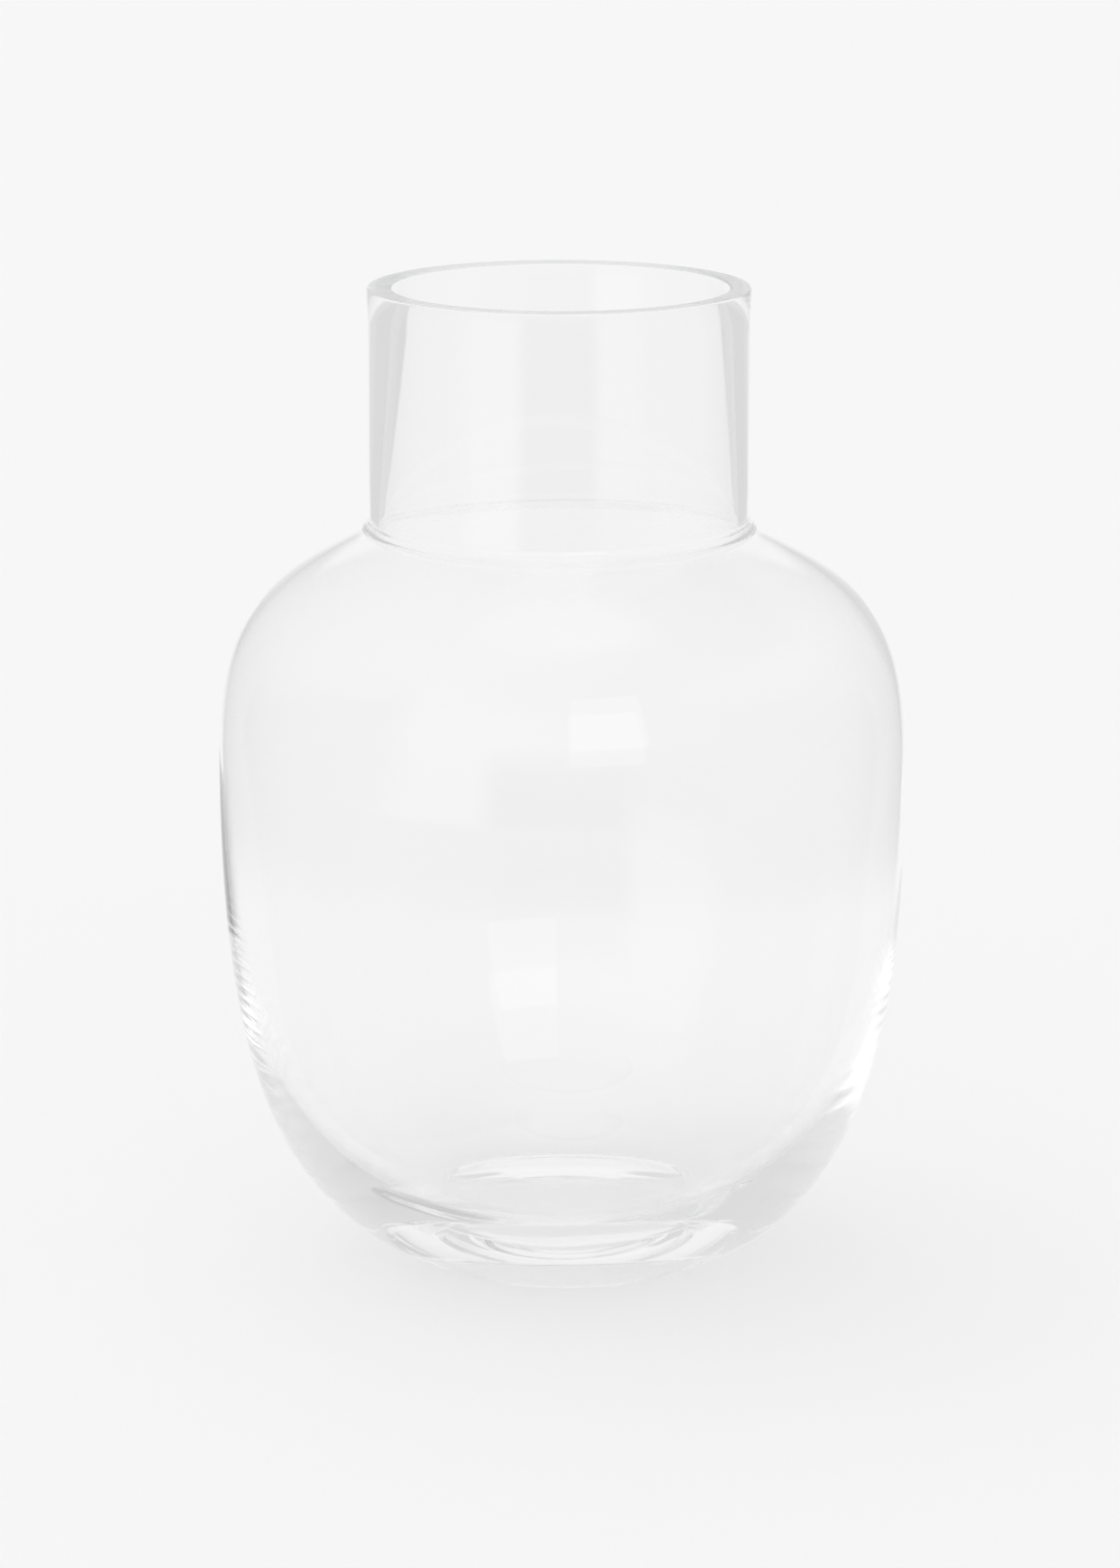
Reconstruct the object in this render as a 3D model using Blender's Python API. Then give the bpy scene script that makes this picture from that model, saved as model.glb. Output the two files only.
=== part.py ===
"""Clear glass vase: a round body, a straight cylindrical neck with a ground rim, and a heavy base.

The vase is one blown piece of glass. It is modelled as nine turned zones, stacked from the foot to
the rim, each its own closed solid with a fine seam to the next. Units are metres and +Z is up. The
origin is the centre of the circle that the vase stands on.
"""
import math

import bmesh
import bpy

# Outside of the glass
HEIGHT = 0.244
BODY_RADIUS = 0.085
BELLY_HEIGHT = 0.1242          # where the body is widest
NECK_RADIUS = 0.0469
NECK_FOOT_HEIGHT = 0.1875      # where the neck's straight side begins
CORNER_RADIUS = 0.0034         # hollow curve between the shoulder and the neck
SHOULDER_SLOPE = math.radians(26.4)   # fall of the shoulder where it leaves the neck
SHOULDER_REACH = 0.0308        # how far the shoulder keeps that slope
BELLY_REACH_UP = 0.0351        # how far the side stays upright above the belly
BELLY_REACH_DOWN = 0.0729      # and below it
HEEL_SLOPE = math.radians(21.8)       # rise of the side where it leaves the foot
HEEL_REACH = 0.0407

# Inside of the glass
RIM_WALL = 0.0056
NECK_FOOT_WALL = 0.0028
BELLY_WALL = 0.0011
INNER_CORNER_RADIUS = 0.0025   # curve inside, between the shoulder and the neck
FLOOR_HEIGHT = 0.0067
FLOOR_REACH = 0.068            # how far the floor stays level before it turns up the side
INNER_REACH_DOWN = 0.081       # how far the inner side stays upright below the belly

# Foot
FOOT_RADIUS = 0.036            # outer edge of the flat ring that the vase stands on
FOOT_INNER_RADIUS = 0.0335     # inner edge of that ring
PUNT_DEPTH = 0.0020            # hollow under the base, at its middle
FOOT_RING_HEIGHT = 0.0020
FOOT_RING_BORE = 0.027

# Heights of the seams between the zones
BASE_TOP = 0.0090
HEEL_TOP = 0.0260
LOWER_BODY_TOP = 0.0700
UPPER_BELLY_TOP = 0.1570
NECK_TOP = 0.2390

SEAM = 0.0003                  # gap between neighbouring zones
RIM_ARRIS = 0.0005             # small bevel on the rim's two edges
SEGMENTS = 64                  # facets round the vase
CURVE_STEPS = 120              # points worked out along each curve, before thinning
FACET_TURN = math.radians(7.0)        # turn between kept points of an outline
SMOOTH_ANGLE = math.radians(30.0)

# Glass
THIN_GLASS_COLOR = (0.97, 0.98, 0.98)
THICK_GLASS_COLOR = (0.94, 0.96, 0.96)
POLISHED_ROUGHNESS = 0.02
FOOT_ROUGHNESS = 0.05          # lightly worn where it stands
GROUND_ROUGHNESS = 0.35
GLASS_IOR = 1.5


def bezier(start, start_handle, end_handle, end):
    """Points (radius, height) along a cubic curve."""
    points = []
    for step in range(CURVE_STEPS + 1):
        t = step / CURVE_STEPS
        s = 1.0 - t
        weights = (s * s * s, 3 * s * s * t, 3 * s * t * t, t * t * t)
        corners = (start, start_handle, end_handle, end)
        radius = sum(w * c[0] for w, c in zip(weights, corners))
        height = sum(w * c[1] for w, c in zip(weights, corners))
        points.append((radius, height))
    return points


def corner_arc(wall, radius):
    """The curve between shoulder and neck at a depth below the outer surface, from the shoulder up.

    The curve touches the shoulder's line and the neck's line at that depth, whatever its radius.
    """
    spare = CORNER_RADIUS + wall - radius
    centre_radius = NECK_RADIUS + CORNER_RADIUS - spare
    centre_height = NECK_FOOT_HEIGHT - spare * (1.0 - math.sin(SHOULDER_SLOPE)) / math.cos(SHOULDER_SLOPE)
    points = []
    for step in range(CURVE_STEPS + 1):
        angle = SHOULDER_SLOPE + (math.pi / 2 - SHOULDER_SLOPE) * step / CURVE_STEPS
        points.append((centre_radius - radius * math.sin(angle), centre_height - radius * math.cos(angle)))
    return points


def side_curves(wall_at_neck, wall_at_belly, corner_radius):
    """The body's upper side and the corner, at a depth below the outer surface."""
    corner = corner_arc(wall_at_neck, corner_radius)
    top_radius, top_height = corner[0]
    belly_radius = BODY_RADIUS - wall_at_belly
    shoulder_handle = (top_radius + SHOULDER_REACH * math.cos(SHOULDER_SLOPE),
                       top_height - SHOULDER_REACH * math.sin(SHOULDER_SLOPE))
    upper = bezier((belly_radius, BELLY_HEIGHT),
                   (belly_radius, BELLY_HEIGHT + BELLY_REACH_UP - wall_at_belly),
                   shoulder_handle, (top_radius, top_height))
    return upper[1:] + corner[1:]


def outer_outline():
    """The outer surface, from the foot up to the rim."""
    lower = bezier((FOOT_RADIUS, 0.0),
                   (FOOT_RADIUS + HEEL_REACH * math.cos(HEEL_SLOPE), HEEL_REACH * math.sin(HEEL_SLOPE)),
                   (BODY_RADIUS, BELLY_HEIGHT - BELLY_REACH_DOWN),
                   (BODY_RADIUS, BELLY_HEIGHT))
    rim = [(NECK_RADIUS, HEIGHT - RIM_ARRIS), (NECK_RADIUS - RIM_ARRIS, HEIGHT)]
    return lower + side_curves(0.0, 0.0, CORNER_RADIUS) + rim


def inner_outline():
    """The inner surface, from the middle of the floor up to the rim."""
    belly_radius = BODY_RADIUS - BELLY_WALL
    bore = NECK_RADIUS - RIM_WALL
    lower = bezier((0.0, FLOOR_HEIGHT), (FLOOR_REACH, FLOOR_HEIGHT),
                   (belly_radius, BELLY_HEIGHT - INNER_REACH_DOWN), (belly_radius, BELLY_HEIGHT))
    rim = [(bore, HEIGHT - RIM_ARRIS), (bore + RIM_ARRIS, HEIGHT)]
    return lower + side_curves(NECK_FOOT_WALL, BELLY_WALL, INNER_CORNER_RADIUS) + rim


def punt_height(radius):
    """Height of the hollow underside above the standing plane."""
    return PUNT_DEPTH * (1.0 - (radius / FOOT_INNER_RADIUS) ** 2)


def punt_outline(from_radius, to_radius):
    """The hollow underside between two radii."""
    points = []
    for step in range(CURVE_STEPS + 1):
        radius = from_radius + (to_radius - from_radius) * step / CURVE_STEPS
        points.append((radius, punt_height(radius)))
    return points


def radius_at(outline, height):
    """Radius of an outline that rises all the way, at a height."""
    for (low_radius, low), (high_radius, high) in zip(outline, outline[1:]):
        if low <= height <= high and high > low:
            return low_radius + (high_radius - low_radius) * (height - low) / (high - low)
    raise ValueError("height is off the outline")


def thinned(points):
    """The first and last point, and one wherever the outline has turned by FACET_TURN."""
    kept = [points[0]]
    last_heading = None
    for before, here in zip(points, points[1:]):
        heading = math.atan2(here[1] - before[1], here[0] - before[0])
        if last_heading is None:
            last_heading = heading
        elif abs(heading - last_heading) > FACET_TURN:
            kept.append(before)
            last_heading = heading
    kept.append(points[-1])
    return kept


def between(outline, low, high):
    """The stretch of an outline between two heights, with its ends exactly on them."""
    inside = [point for point in outline if low < point[1] < high]
    return thinned([(radius_at(outline, low), low)] + inside + [(radius_at(outline, high), high)])


def ring_profile(low, high):
    """Closed outline of the wall between two heights: up the outside, down the inside."""
    outside = between(outer_outline(), low, high)
    inside = between(inner_outline(), low, high)
    return outside + inside[::-1]


def base_profile():
    """Outline of the thick bottom, from the middle of its underside round to the middle of its floor."""
    step_radius = FOOT_RING_BORE - SEAM
    low = FOOT_RING_HEIGHT + SEAM
    underside = thinned(punt_outline(0.0, step_radius)) + [(step_radius, low)]
    outside = between(outer_outline(), low, BASE_TOP)
    floor = [point for point in inner_outline() if 0.0 < point[0] and point[1] < BASE_TOP]
    floor = [(0.0, FLOOR_HEIGHT)] + floor + [(radius_at(inner_outline(), BASE_TOP), BASE_TOP)]
    return underside + outside + thinned(floor)[::-1]


def foot_profile():
    """Closed outline of the ring that the vase stands on."""
    outside = between(outer_outline(), 0.0, FOOT_RING_HEIGHT)
    underside = thinned(punt_outline(FOOT_RING_BORE, FOOT_INNER_RADIUS))
    return outside + [(FOOT_RING_BORE, FOOT_RING_HEIGHT)] + underside


def turned(name, profile, material):
    """A solid turned about Z from a counter-clockwise outline of (radius, height) points.

    An outline that begins and ends on the axis makes a disc. Any other makes a ring.
    """
    mesh_builder = bmesh.new()
    columns = []
    for radius, height in profile:
        if radius == 0.0:
            columns.append([mesh_builder.verts.new((0.0, 0.0, height))] * SEGMENTS)
            continue
        column = []
        for index in range(SEGMENTS):
            angle = 2.0 * math.pi * index / SEGMENTS
            column.append(mesh_builder.verts.new((radius * math.cos(angle), radius * math.sin(angle), height)))
        columns.append(column)
    is_disc = profile[0][0] == 0.0
    following = columns[1:] if is_disc else columns[1:] + columns[:1]
    for here, there in zip(columns, following):
        for index in range(SEGMENTS):
            after = (index + 1) % SEGMENTS
            corners = []
            for vertex in (here[index], here[after], there[after], there[index]):
                if vertex not in corners:
                    corners.append(vertex)
            mesh_builder.faces.new(corners)
    mesh = bpy.data.meshes.new(name)
    mesh_builder.to_mesh(mesh)
    mesh_builder.free()
    mesh.shade_smooth()
    mesh.set_sharp_from_angle(angle=SMOOTH_ANGLE)
    mesh.materials.append(material)
    zone = bpy.data.objects.new(name, mesh)
    bpy.context.scene.collection.objects.link(zone)
    return zone


def clear_glass(name, color, roughness):
    """Clear glass, polished or ground."""
    material = bpy.data.materials.new(name)
    material.use_nodes = True
    shader = material.node_tree.nodes["Principled BSDF"]
    shader.inputs["Base Color"].default_value = (*color, 1.0)
    shader.inputs["Roughness"].default_value = roughness
    shader.inputs["Metallic"].default_value = 0.0
    shader.inputs["IOR"].default_value = GLASS_IOR
    shader.inputs["Transmission Weight"].default_value = 1.0
    return material


def polished_zone(name, profile, color=THIN_GLASS_COLOR):
    """A zone of the wall with its own polished glass."""
    return turned(name, profile, clear_glass(name + "_glass", color, POLISHED_ROUGHNESS))


def build_vase():
    """The nine zones of the glass, from the rim down, under one empty."""
    zones = [
        turned("rim", ring_profile(NECK_TOP + SEAM, HEIGHT),
               clear_glass("rim_glass", THICK_GLASS_COLOR, GROUND_ROUGHNESS)),
        polished_zone("neck", ring_profile(NECK_FOOT_HEIGHT + SEAM, NECK_TOP)),
        polished_zone("shoulder", ring_profile(UPPER_BELLY_TOP + SEAM, NECK_FOOT_HEIGHT)),
        polished_zone("upper_belly", ring_profile(BELLY_HEIGHT + SEAM, UPPER_BELLY_TOP)),
        polished_zone("lower_belly", ring_profile(LOWER_BODY_TOP + SEAM, BELLY_HEIGHT)),
        polished_zone("lower_body", ring_profile(HEEL_TOP + SEAM, LOWER_BODY_TOP)),
        polished_zone("heel", ring_profile(BASE_TOP + SEAM, HEEL_TOP), THICK_GLASS_COLOR),
        polished_zone("base", base_profile(), THICK_GLASS_COLOR),
        turned("foot_ring", foot_profile(), clear_glass("foot_ring_glass", THICK_GLASS_COLOR, FOOT_ROUGHNESS)),
    ]
    vase = bpy.data.objects.new("vase", None)
    bpy.context.scene.collection.objects.link(vase)
    for zone in zones:
        zone.parent = vase


for old_object in list(bpy.data.objects):
    bpy.data.objects.remove(old_object, do_unlink=True)
build_vase()
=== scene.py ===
"""Looks of the clear glass vase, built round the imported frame."""
import math

import bpy
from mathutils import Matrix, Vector


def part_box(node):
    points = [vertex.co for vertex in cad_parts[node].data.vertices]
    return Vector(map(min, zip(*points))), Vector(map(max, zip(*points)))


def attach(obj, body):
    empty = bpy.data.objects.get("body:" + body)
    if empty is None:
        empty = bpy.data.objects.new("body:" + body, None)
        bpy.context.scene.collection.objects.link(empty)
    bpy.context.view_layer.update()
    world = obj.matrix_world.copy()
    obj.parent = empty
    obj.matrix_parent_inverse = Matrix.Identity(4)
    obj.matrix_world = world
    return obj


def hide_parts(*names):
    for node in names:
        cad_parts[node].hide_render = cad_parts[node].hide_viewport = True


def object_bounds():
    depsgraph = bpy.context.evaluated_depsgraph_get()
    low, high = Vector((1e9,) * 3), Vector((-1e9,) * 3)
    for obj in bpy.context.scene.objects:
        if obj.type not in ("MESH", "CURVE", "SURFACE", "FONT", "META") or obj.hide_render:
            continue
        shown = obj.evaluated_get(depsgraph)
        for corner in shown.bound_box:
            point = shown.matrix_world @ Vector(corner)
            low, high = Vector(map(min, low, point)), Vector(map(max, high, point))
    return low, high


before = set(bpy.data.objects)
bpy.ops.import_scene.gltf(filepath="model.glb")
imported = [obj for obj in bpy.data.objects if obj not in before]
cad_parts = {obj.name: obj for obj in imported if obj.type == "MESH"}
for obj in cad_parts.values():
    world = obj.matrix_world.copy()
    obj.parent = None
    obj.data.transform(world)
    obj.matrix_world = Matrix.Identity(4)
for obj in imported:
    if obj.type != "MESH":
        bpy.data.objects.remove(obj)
cad_low, cad_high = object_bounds()

# Outside of the glass, in metres: the driving sizes of the frame's solids
HEIGHT = cad_high.z - cad_low.z
BODY_RADIUS = (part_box("upper_belly")[1].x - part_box("upper_belly")[0].x) / 2
NECK_RADIUS = (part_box("neck")[1].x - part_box("neck")[0].x) / 2
BELLY_HEIGHT = 0.1242
NECK_FOOT_HEIGHT = 0.1875
CORNER_RADIUS = 0.0034
SHOULDER_SLOPE = math.radians(26.4)
SHOULDER_REACH = 0.0308
BELLY_REACH_UP = 0.0351
BELLY_REACH_DOWN = 0.0729
HEEL_SLOPE = math.radians(21.8)
HEEL_REACH = 0.0407

# Inside of the glass
RIM_WALL = 0.0056
NECK_FOOT_WALL = 0.0028
BELLY_WALL = 0.0011
INNER_CORNER_RADIUS = 0.0025
FLOOR_HEIGHT = 0.0067
FLOOR_REACH = 0.068
INNER_REACH_DOWN = 0.081

# Foot
FOOT_RADIUS = 0.036
FOOT_INNER_RADIUS = 0.0335
PUNT_DEPTH = 0.002
RIM_ARRIS = 0.0005

# Steps along each stretch of the outline, and round the vase
SEGMENTS = 310
UNDERSIDE_STEPS = 20
FOOT_STEPS = 3
LOWER_STEPS = 60
INNER_LOWER_STEPS = 76
UPPER_STEPS = 48
CORNER_STEPS = 14
NECK_STEPS = 8
ARRIS_STEPS = 4
RIM_STEPS = 4

# How far hand blowing leaves the glass from true: sideways drift at some heights, and waves
OUTER_DRIFT = ((0.0, 0.0012), (0.03, 0.0003), (0.124, 0.0),
               (0.165, 0.0), (0.19, -0.00085), (0.244, -0.00085))
BORE_DRIFT = ((0.0, 0.0), (0.075, 0.0002), (0.15, -0.00035), (0.244, 0.00045))
BASE_WAVE = 0.00025
WAVE_HEIGHT = 0.018
WAVE_SPREAD = 0.016
CORNER_RIPPLE = 0.00002
HEEL_WAVE = 0.00018
HEEL_WAVE_TOP = 0.03
# Each wave: how many times it goes round, its phase, and how much the phase turns with height
BASE_RING = (2, 0.7, 40.0)
HEEL_RING = (3, 1.1, 60.0)
CORNER_RING = (23, 1.9, 0.0)
# The parts that every wave is made of: the share of each, and how much faster its phase runs
WAVE_PARTS = ((0.5, 1.0), (0.3, 2.3), (0.2, 4.1))

# Glass
GLASS_IOR = 1.5
SHADE = 0.96
HAZE = 0.004
SURFACE_WAVE = 0.00004
SURFACE_WAVE_SCALE = 22.0
GRIND = 0.00003
HAZE_SCALE = 30.0
HAZE_DETAIL = 3.0
GRIND_SCALE = 2200.0
GROUND_COLOR = (0.80, 0.81, 0.81)
GROUND_ROUGHNESS = (0.25, 0.5)
GROUND_PATCH_SCALE = 260.0


def bezier(start, start_handle, end_handle, end, steps):
    """Points (radius, height) along a cubic curve, without its start."""
    points = []
    for step in range(1, steps + 1):
        t = step / steps
        s = 1.0 - t
        weights = (s * s * s, 3 * s * s * t, 3 * s * t * t, t * t * t)
        corners = (start, start_handle, end_handle, end)
        points.append((sum(w * c[0] for w, c in zip(weights, corners)),
                       sum(w * c[1] for w, c in zip(weights, corners))))
    return points


def straight(start, end, steps):
    """Points along a straight stretch, without its start."""
    points = []
    for step in range(1, steps + 1):
        t = step / steps
        points.append((start[0] + (end[0] - start[0]) * t, start[1] + (end[1] - start[1]) * t))
    return points


def corner_arc(wall, radius, steps):
    """The curve between shoulder and neck at a depth below the outer surface, from the shoulder up."""
    spare = CORNER_RADIUS + wall - radius
    centre_radius = NECK_RADIUS + CORNER_RADIUS - spare
    drop = (1.0 - math.sin(SHOULDER_SLOPE)) / math.cos(SHOULDER_SLOPE)
    centre_height = NECK_FOOT_HEIGHT - spare * drop
    points = []
    for step in range(steps + 1):
        angle = SHOULDER_SLOPE + (math.pi / 2 - SHOULDER_SLOPE) * step / steps
        points.append((centre_radius - radius * math.sin(angle), centre_height - radius * math.cos(angle)))
    return points


def side(wall_at_neck, wall_at_belly, corner_radius, top):
    """The upper body, the corner and the neck's straight side, up to a point below the rim."""
    corner = corner_arc(wall_at_neck, corner_radius, CORNER_STEPS)
    belly_radius = BODY_RADIUS - wall_at_belly
    handle = (corner[0][0] + SHOULDER_REACH * math.cos(SHOULDER_SLOPE),
              corner[0][1] - SHOULDER_REACH * math.sin(SHOULDER_SLOPE))
    upright = (belly_radius, BELLY_HEIGHT + BELLY_REACH_UP - wall_at_belly)
    upper = bezier((belly_radius, BELLY_HEIGHT), upright, handle, corner[0], UPPER_STEPS)
    return upper + corner[1:] + straight(corner[-1], top, NECK_STEPS)


def quarter_turn(centre, radius, start_degrees, steps):
    """A quarter circle, turning left from the given heading of its first radius."""
    points = []
    for step in range(steps + 1):
        angle = math.radians(start_degrees + 90.0 * step / steps)
        points.append((centre[0] + radius * math.cos(angle), centre[1] + radius * math.sin(angle)))
    return points


def underside():
    """The hollow under the base and the flat ring round it, from the axis out to the foot's edge."""
    points = [(0.0, PUNT_DEPTH)]
    for step in range(1, UNDERSIDE_STEPS + 1):
        reach = 1.0 - (1.0 - step / UNDERSIDE_STEPS) ** 2
        points.append((FOOT_INNER_RADIUS * reach, PUNT_DEPTH * (1.0 - reach ** 2)))
    return points + straight(points[-1], (FOOT_RADIUS, 0.0), FOOT_STEPS)


def outer_side():
    """The outer surface, from the foot's edge up to the flat of the rim."""
    lower = bezier((FOOT_RADIUS, 0.0),
                   (FOOT_RADIUS + HEEL_REACH * math.cos(HEEL_SLOPE), HEEL_REACH * math.sin(HEEL_SLOPE)),
                   (BODY_RADIUS, BELLY_HEIGHT - BELLY_REACH_DOWN), (BODY_RADIUS, BELLY_HEIGHT), LOWER_STEPS)
    upper = side(0.0, 0.0, CORNER_RADIUS, (NECK_RADIUS, HEIGHT - RIM_ARRIS))
    arris = quarter_turn((NECK_RADIUS - RIM_ARRIS, HEIGHT - RIM_ARRIS), RIM_ARRIS, 0.0, ARRIS_STEPS)
    return lower + upper + arris[1:]


def inner_side():
    """The inner surface, from the middle of the floor up to the flat of the rim."""
    belly_radius = BODY_RADIUS - BELLY_WALL
    bore = NECK_RADIUS - RIM_WALL
    lower = [(0.0, FLOOR_HEIGHT)] + bezier(
        (0.0, FLOOR_HEIGHT), (FLOOR_REACH, FLOOR_HEIGHT),
        (belly_radius, BELLY_HEIGHT - INNER_REACH_DOWN), (belly_radius, BELLY_HEIGHT), INNER_LOWER_STEPS)
    upper = side(NECK_FOOT_WALL, BELLY_WALL, INNER_CORNER_RADIUS, (bore, HEIGHT - RIM_ARRIS))
    arris = quarter_turn((bore + RIM_ARRIS, HEIGHT - RIM_ARRIS), RIM_ARRIS, 90.0, ARRIS_STEPS)
    return lower + upper + arris[-2::-1]


def eased(points, height):
    """A value that eases from each (height, value) point to the next."""
    for (low, first), (high, second) in zip(points, points[1:]):
        if height <= high:
            t = max(0.0, (height - low) / (high - low))
            return first + (second - first) * t * t * (3.0 - 2.0 * t)
    return points[-1][1]


def waves(angle, height, ring):
    """An uneven wave round the vase, between about -1 and 1."""
    count, phase, turn = ring
    phase += turn * height
    return sum(share * math.sin((count * order + order - 1) * angle + pace * phase)
               for order, (share, pace) in enumerate(WAVE_PARTS, start=1))


def hand_made(radius, height, angle, inside):
    """Where a point of the true turned shape lies once drift and waves are added to it."""
    shift = eased(OUTER_DRIFT, height)
    if inside:
        shift += eased(BORE_DRIFT, height)
        lower = math.exp(-((height - WAVE_HEIGHT) / WAVE_SPREAD) ** 2) * min(1.0, radius / FOOT_RADIUS)
        height += BASE_WAVE * lower * waves(angle, height, BASE_RING)
        corner = math.exp(-((height - NECK_FOOT_HEIGHT) / CORNER_RADIUS) ** 2)
        radius += CORNER_RIPPLE * corner * waves(angle, height, CORNER_RING)
    elif height < HEEL_WAVE_TOP and radius > FOOT_RADIUS:
        fade = math.sin(math.pi * height / HEEL_WAVE_TOP) ** 2
        radius += HEEL_WAVE * fade * waves(angle, height, HEEL_RING)
    return radius * math.cos(angle) + shift, radius * math.sin(angle), height


def turned(name, below, outside, inside, materials):
    """One closed body: the underside, the outer side, the ground flat of the rim and the inner side."""
    flat = straight(outside[-1], inside[-1], RIM_STEPS)[:-1]
    points = below + outside + flat + inside[::-1]
    inner_from = len(below) + len(outside) + len(flat)
    # The ground faces begin on the outer bevel and end on the inner one
    ground_from = len(below) + len(outside) - ARRIS_STEPS + 1
    ground_to = inner_from + ARRIS_STEPS // 2
    vertices = [(0.0, 0.0, points[0][1])]
    for row, (radius, height) in enumerate(points[1:-1], start=1):
        for index in range(SEGMENTS):
            angle = 2.0 * math.pi * index / SEGMENTS
            vertices.append(hand_made(radius, height, angle, row >= inner_from))
    vertices.append((0.0, 0.0, points[-1][1]))
    last = len(vertices) - 1
    rows = len(points) - 2
    faces = []
    ground = []
    for index in range(SEGMENTS):
        after = (index + 1) % SEGMENTS
        faces.append((0, 1 + after, 1 + index))
        ground.append(0)
        for row in range(rows - 1):
            low = 1 + row * SEGMENTS
            high = low + SEGMENTS
            faces.append((low + index, low + after, high + after, high + index))
            ground.append(1 if ground_from <= row < ground_to else 0)
        top = 1 + (rows - 1) * SEGMENTS
        faces.append((top + index, top + after, last))
        ground.append(0)
    mesh = bpy.data.meshes.new(name)
    mesh.from_pydata(vertices, [], faces)
    for material in materials:
        mesh.materials.append(material)
    mesh.polygons.foreach_set("material_index", ground)
    mesh.validate()
    mesh.shade_smooth()
    piece = bpy.data.objects.new(name, mesh)
    bpy.context.scene.collection.objects.link(piece)
    return piece


def glass(name, color):
    """A glass shader whose direct shadow stays pale, with its tree and its vase coordinates."""
    material = bpy.data.materials.new(name)
    material.use_nodes = True
    tree = material.node_tree
    shader = tree.nodes["Principled BSDF"]
    shader.inputs["Base Color"].default_value = (*color, 1.0)
    shader.inputs["IOR"].default_value = GLASS_IOR
    shader.inputs["Transmission Weight"].default_value = 1.0
    shade = tree.nodes.new("ShaderNodeBsdfTransparent")
    shade.inputs["Color"].default_value = (SHADE, SHADE, SHADE, 1.0)
    path = tree.nodes.new("ShaderNodeLightPath")
    mix = tree.nodes.new("ShaderNodeMixShader")
    tree.links.new(path.outputs["Is Shadow Ray"], mix.inputs["Fac"])
    tree.links.new(shader.outputs[0], mix.inputs[1])
    tree.links.new(shade.outputs[0], mix.inputs[2])
    tree.links.new(mix.outputs[0], tree.nodes["Material Output"].inputs["Surface"])
    coordinates = tree.nodes.new("ShaderNodeTexCoord")
    return material, tree, shader, coordinates.outputs["Object"]


def noise(tree, place, scale, detail):
    """Smooth noise between 0 and 1 at a place."""
    node = tree.nodes.new("ShaderNodeTexNoise")
    node.inputs["Scale"].default_value = scale
    node.inputs["Detail"].default_value = detail
    tree.links.new(place, node.inputs["Vector"])
    return node.outputs["Fac"]


def spread(tree, value, low, high):
    """A 0 to 1 value laid over another range."""
    node = tree.nodes.new("ShaderNodeMapRange")
    node.inputs["To Min"].default_value = low
    node.inputs["To Max"].default_value = high
    tree.links.new(value, node.inputs["Value"])
    return node.outputs["Result"]


def bump(tree, shader, height, distance):
    """Tilts a shader's surface as if a 0 to 1 height stood that far out."""
    node = tree.nodes.new("ShaderNodeBump")
    node.inputs["Strength"].default_value = 1.0
    node.inputs["Distance"].default_value = distance
    tree.links.new(height, node.inputs["Height"])
    tree.links.new(node.outputs[0], shader.inputs["Normal"])


def clear_glass():
    """Polished glass, with faint slow waves in the surface and a trace of haze."""
    material, tree, shader, place = glass("clear_glass", (1.0, 1.0, 1.0))
    haze = spread(tree, noise(tree, place, HAZE_SCALE, HAZE_DETAIL), 0.0, HAZE)
    tree.links.new(haze, shader.inputs["Roughness"])
    bump(tree, shader, noise(tree, place, SURFACE_WAVE_SCALE, 1.0), SURFACE_WAVE)
    return material


def ground_glass():
    """The flat of the rim, ground and only half polished."""
    material, tree, shader, place = glass("ground_glass", GROUND_COLOR)
    patches = spread(tree, noise(tree, place, GROUND_PATCH_SCALE, 4.0), *GROUND_ROUGHNESS)
    tree.links.new(patches, shader.inputs["Roughness"])
    bump(tree, shader, noise(tree, place, GRIND_SCALE, 2.0), GRIND)
    return material


# Brightness of what surrounds the vase
BACKDROP = 0.93
LEFT_WALL = 1.0
CENTRE = 0.45
RIGHT_WALL = 0.6
SIDE_WALL = 0.7
BACK_WALL = 0.7
UPPER_LEFT = 1.08
UPPER_RIGHT = 0.78
CEILING_LEFT = 0.72
CEILING_RIGHT = 0.52
OVERHEAD = 0.9
WINDOW = 1.45
TABLE_FAR = 0.64

# Where one brightness gives way to the next: the two ends of the change, in degrees.
# Azimuths run from the camera's side, and are positive to the right. CEILING_EDGE alone is no angle,
# but the sideways part of a direction.
LEFT_EDGE = (-30.0, -19.0)
RIGHT_EDGE = (18.0, 30.0)
UPPER_EDGE = (-30.0, 40.0)
SIDE_TURN = (48.0, 66.0)
BACK_TURN = (110.0, 130.0)
TABLE_TURN = (80.0, 130.0)
UPPER_ELEVATION = (5.0, 12.0)
CEILING_ELEVATION = (32.0, 48.0)
OVERHEAD_ELEVATION = (66.0, 80.0)
CEILING_EDGE = (-0.5, 0.5)
WINDOW_AZIMUTH = (3.0, 29.0)
WINDOW_ELEVATION = (10.0, 38.0)
WINDOW_BLUR = 0.5

# The bright sweep of paper behind the vase, which widens upwards and away from the camera; it is light in
# the world, and painted glow on the floor.
# SWEEP_START is in metres behind the vase's axis, and SWEEP_EDGE in half widths of the sweep.
SWEEP_HALF_WIDTH = 0.16
SWEEP_SPREAD = 0.22
SWEEP_START = (-0.05, 0.0)
SWEEP_EDGE = (1.0, 1.12)
SWEEP_BLUR = 2.0
SWEEP_TOP = (12.0, 24.0)
UPPER_SWEEP_EDGE = 158.0
UPPER_SWEEP_ELEVATION = (10.0, 20.0)
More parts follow.
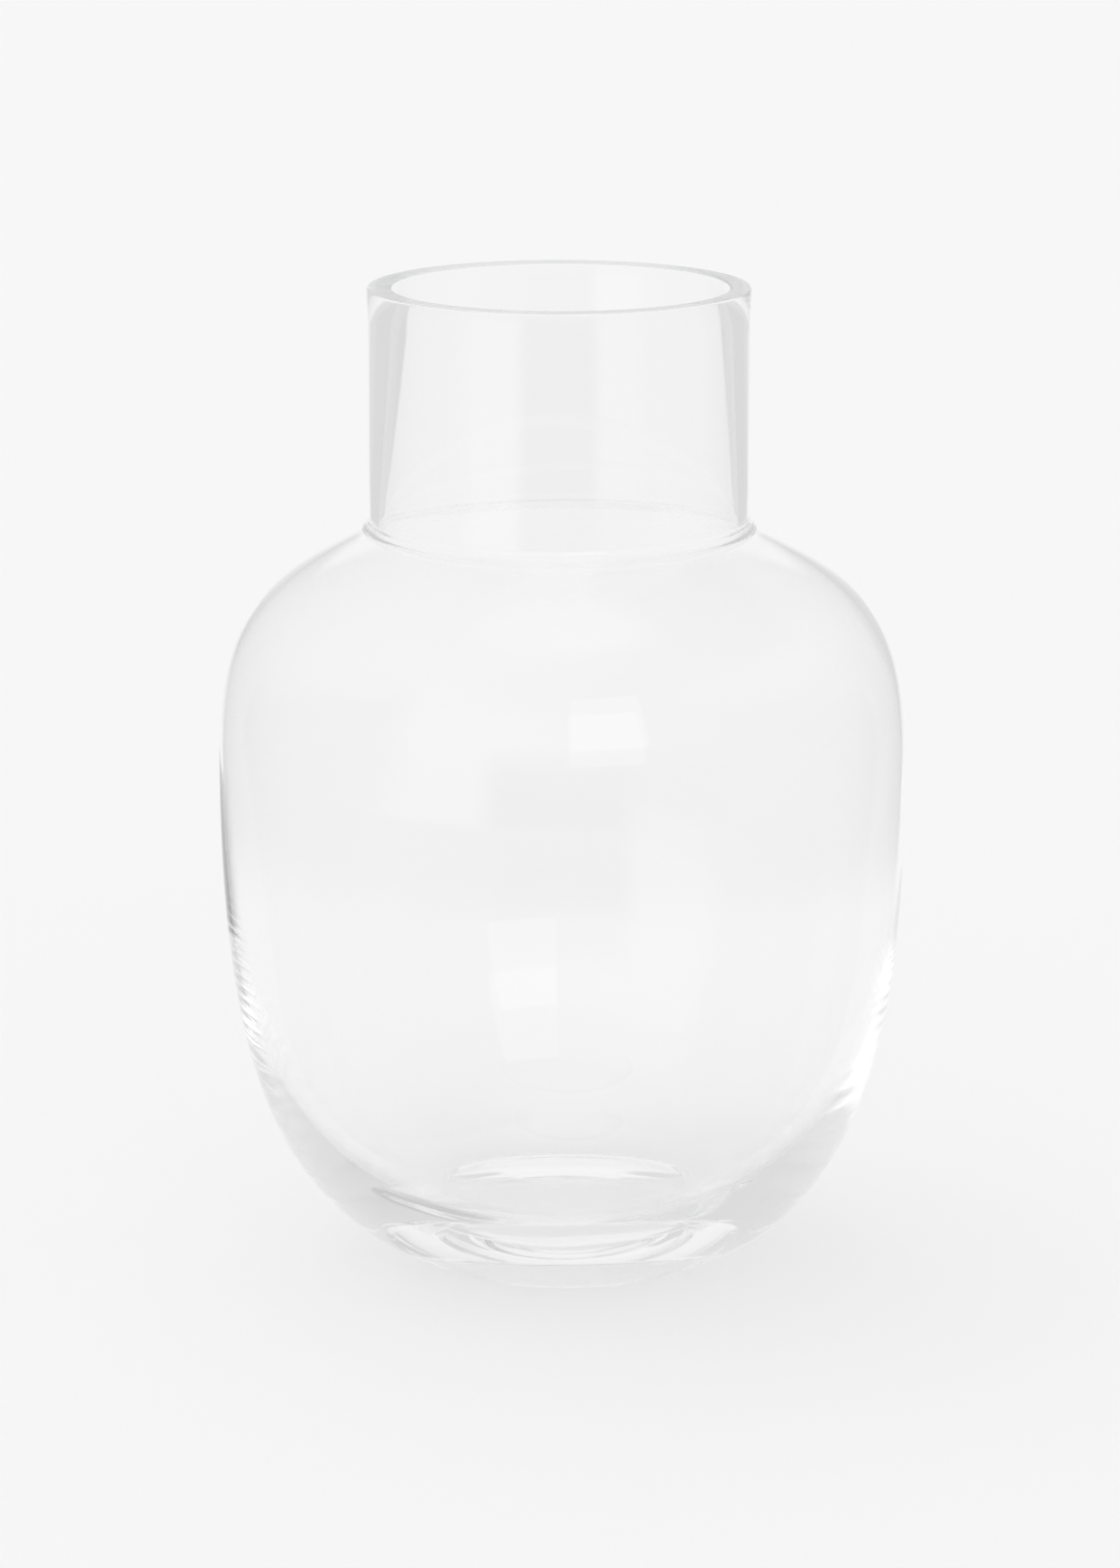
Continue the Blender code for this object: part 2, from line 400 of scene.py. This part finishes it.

# Floor, and the broad soft key light on it; distances from the vase's axis in metres.
# FLOOR_LIT is what the lights add to the floor's painted glow.
FLOOR_RADIUS = 4.0
FLOOR_SIDES = 64
FLOOR_GAP = 0.0001
FLOOR_ALBEDO = 0.4
FLOOR_LIT = 0.393
TABLE_EDGE = (0.34, 0.52)
TABLE_END = (0.68, 0.84)
KEY_STRENGTH = 1.0
KEY_SPREAD = math.radians(60.0)
KEY_DIRECTION = Vector((-0.75, 0.55, 1.0))

# Camera, and how often light may bounce in the glass
CAMERA_ELEVATION = math.radians(12.84)
CAMERA_DISTANCE = 1.5
CAMERA_AIM = Vector((-0.0006, 0.0, 0.1196))
CAMERA_LENS = 138.74
SENSOR_WIDTH = 36.0
LIGHT_BOUNCES = 128


class Nodes:
    """Short calls that add maths nodes to a tree."""

    def __init__(self, tree):
        self.tree = tree

    def math(self, operation, first, second=0.0):
        node = self.tree.nodes.new("ShaderNodeMath")
        node.operation = operation
        for socket, value in zip(node.inputs, (first, second)):
            if isinstance(value, (int, float)):
                socket.default_value = value
            else:
                self.tree.links.new(value, socket)
        return node.outputs[0]

    def ramp(self, value, low, high):
        """0 below low, 1 above high, smooth between."""
        node = self.tree.nodes.new("ShaderNodeMapRange")
        node.interpolation_type = "SMOOTHSTEP"
        self.tree.links.new(value, node.inputs["Value"])
        node.inputs["From Min"].default_value = low
        node.inputs["From Max"].default_value = high
        return node.outputs["Result"]

    def band(self, value, low, high, blur):
        """1 between low and high, 0 outside."""
        return self.math("MULTIPLY", self.ramp(value, low - blur, low + blur),
                         self.math("SUBTRACT", 1.0, self.ramp(value, high - blur, high + blur)))

    def mix(self, low, high, amount):
        """low where amount is 0 and high where it is 1."""
        change = self.math("SUBTRACT", high, low)
        return self.math("ADD", low, self.math("MULTIPLY", change, amount))


def azimuth_of(n, x, y):
    """Degrees round the vase from the camera's side, positive to the right."""
    return n.math("MULTIPLY", n.math("ARCTAN2", x, n.math("MULTIPLY", y, -1.0)), 180.0 / math.pi)


def walls(n, azimuth):
    """Brightness of the studio's walls all round, without the backdrop."""
    front = n.mix(LEFT_WALL, CENTRE, n.ramp(azimuth, *LEFT_EDGE))
    front = n.mix(front, RIGHT_WALL, n.ramp(azimuth, *RIGHT_EDGE))
    turn = n.math("ABSOLUTE", azimuth)
    level = n.mix(front, SIDE_WALL, n.ramp(turn, *SIDE_TURN))
    return n.mix(level, BACK_WALL, n.ramp(turn, *BACK_TURN))


def make_world():
    world = bpy.data.worlds.new("studio")
    bpy.context.scene.world = world
    world.use_nodes = True
    tree = world.node_tree
    tree.nodes.clear()
    n = Nodes(tree)
    coordinates = tree.nodes.new("ShaderNodeTexCoord")
    axes = tree.nodes.new("ShaderNodeSeparateXYZ")
    tree.links.new(coordinates.outputs["Generated"], axes.inputs[0])
    x, y, z = axes.outputs
    elevation = n.math("MULTIPLY", n.math("ARCSINE", z), 180.0 / math.pi)
    azimuth = azimuth_of(n, x, y)
    turn = n.math("ABSOLUTE", azimuth)
    upper = n.mix(UPPER_LEFT, UPPER_RIGHT, n.ramp(azimuth, *UPPER_EDGE))
    upper = n.mix(upper, SIDE_WALL, n.ramp(turn, *SIDE_TURN))
    level = n.mix(walls(n, azimuth), upper, n.ramp(elevation, *UPPER_ELEVATION))
    ceiling = n.mix(CEILING_LEFT, CEILING_RIGHT, n.ramp(x, *CEILING_EDGE))
    level = n.mix(level, ceiling, n.ramp(elevation, *CEILING_ELEVATION))
    level = n.mix(level, OVERHEAD, n.ramp(elevation, *OVERHEAD_ELEVATION))
    edge = 180.0 - math.degrees(math.atan(SWEEP_SPREAD))
    swept = n.mix(BACKDROP, OVERHEAD, n.ramp(elevation, *SWEEP_TOP))
    edge = n.mix(edge, UPPER_SWEEP_EDGE, n.ramp(elevation, *UPPER_SWEEP_ELEVATION))
    level = n.mix(level, swept, n.ramp(n.math("SUBTRACT", turn, edge), -SWEEP_BLUR, SWEEP_BLUR))
    window = n.math("MULTIPLY", n.band(azimuth, *WINDOW_AZIMUTH, WINDOW_BLUR),
                    n.band(elevation, *WINDOW_ELEVATION, WINDOW_BLUR))
    level = n.mix(level, WINDOW, window)
    background = tree.nodes.new("ShaderNodeBackground")
    background.inputs["Color"].default_value = (1.0, 1.0, 1.0, 1.0)
    tree.links.new(level, background.inputs["Strength"])
    output = tree.nodes.new("ShaderNodeOutputWorld")
    tree.links.new(background.outputs[0], output.inputs["Surface"])


def make_floor():
    """A pale, gently glowing table round the vase, which runs on into the walls."""
    mesh = bpy.data.meshes.new("floor")
    corners = []
    for index in range(FLOOR_SIDES):
        angle = 2.0 * math.pi * index / FLOOR_SIDES
        corners.append((FLOOR_RADIUS * math.cos(angle), FLOOR_RADIUS * math.sin(angle), 0.0))
    mesh.from_pydata(corners, [], [tuple(range(FLOOR_SIDES))])
    floor = bpy.data.objects.new("floor", mesh)
    bpy.context.scene.collection.objects.link(floor)
    floor.location.z = cad_low.z - FLOOR_GAP
    material = bpy.data.materials.new("floor_paper_painted_glow")
    material.use_nodes = True
    tree = material.node_tree
    shader = tree.nodes["Principled BSDF"]
    n = Nodes(tree)
    coordinates = tree.nodes.new("ShaderNodeTexCoord")
    axes = tree.nodes.new("ShaderNodeSeparateXYZ")
    tree.links.new(coordinates.outputs["Object"], axes.inputs[0])
    x, y, _ = axes.outputs
    reach = n.math("SQRT", n.math("ADD", n.math("MULTIPLY", x, x), n.math("MULTIPLY", y, y)))
    azimuth = azimuth_of(n, x, y)
    wall = walls(n, azimuth)
    far = n.mix(TABLE_FAR, BACK_WALL, n.ramp(n.math("ABSOLUTE", azimuth), *TABLE_TURN))
    level = n.mix(BACKDROP, far, n.ramp(reach, *TABLE_EDGE))
    level = n.mix(level, wall, n.ramp(reach, *TABLE_END))
    edge = n.math("ADD", SWEEP_HALF_WIDTH, n.math("MULTIPLY", y, SWEEP_SPREAD))
    outside = n.math("DIVIDE", n.math("ABSOLUTE", x), edge)
    behind = n.ramp(y, *SWEEP_START)
    swept = n.math("MULTIPLY", behind, n.math("SUBTRACT", 1.0, n.ramp(outside, *SWEEP_EDGE)))
    level = n.mix(level, BACKDROP, swept)
    # The floor's glow is painted light: a pool of painted light as bright as the backdrop round the vase
    # and in the sweep behind it, dimming further out to the walls' brightness; the lamps add FLOOR_LIT on
    # top.
    tree.links.new(n.math("SUBTRACT", level, FLOOR_LIT), shader.inputs["Emission Strength"])
    shader.inputs["Base Color"].default_value = (FLOOR_ALBEDO, FLOOR_ALBEDO, FLOOR_ALBEDO, 1.0)
    shader.inputs["Roughness"].default_value = 1.0
    shader.inputs["Specular IOR Level"].default_value = 0.0
    shader.inputs["Emission Color"].default_value = (1.0, 1.0, 1.0, 1.0)
    mesh.materials.append(material)


def make_key():
    """Broad soft light from the upper left and behind, which only lights the floor."""
    data = bpy.data.lights.new("key", "SUN")
    data.energy = KEY_STRENGTH
    data.angle = KEY_SPREAD
    key = bpy.data.objects.new("key", data)
    bpy.context.scene.collection.objects.link(key)
    key.rotation_euler = KEY_DIRECTION.to_track_quat("Z", "Y").to_euler()
    key.visible_glossy = False
    key.visible_transmission = False


def make_camera():
    data = bpy.data.cameras.new("camera")
    data.lens = CAMERA_LENS
    data.sensor_width = SENSOR_WIDTH
    data.sensor_fit = "AUTO"
    camera = bpy.data.objects.new("camera", data)
    bpy.context.scene.collection.objects.link(camera)
    back = Vector((0.0, -math.cos(CAMERA_ELEVATION), math.sin(CAMERA_ELEVATION)))
    camera.location = CAMERA_AIM + back * CAMERA_DISTANCE
    camera.rotation_euler = (math.pi / 2 - CAMERA_ELEVATION, 0.0, 0.0)
    bpy.context.scene.camera = camera


scene = bpy.context.scene
scene.view_settings.view_transform = "Standard"
scene.cycles.max_bounces = LIGHT_BOUNCES
scene.cycles.glossy_bounces = LIGHT_BOUNCES
scene.cycles.transmission_bounces = LIGHT_BOUNCES
make_camera()
make_world()
make_key()
make_floor()
vase = turned("vase_glass", underside(), outer_side(), inner_side(), (clear_glass(), ground_glass()))
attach(vase, "root")
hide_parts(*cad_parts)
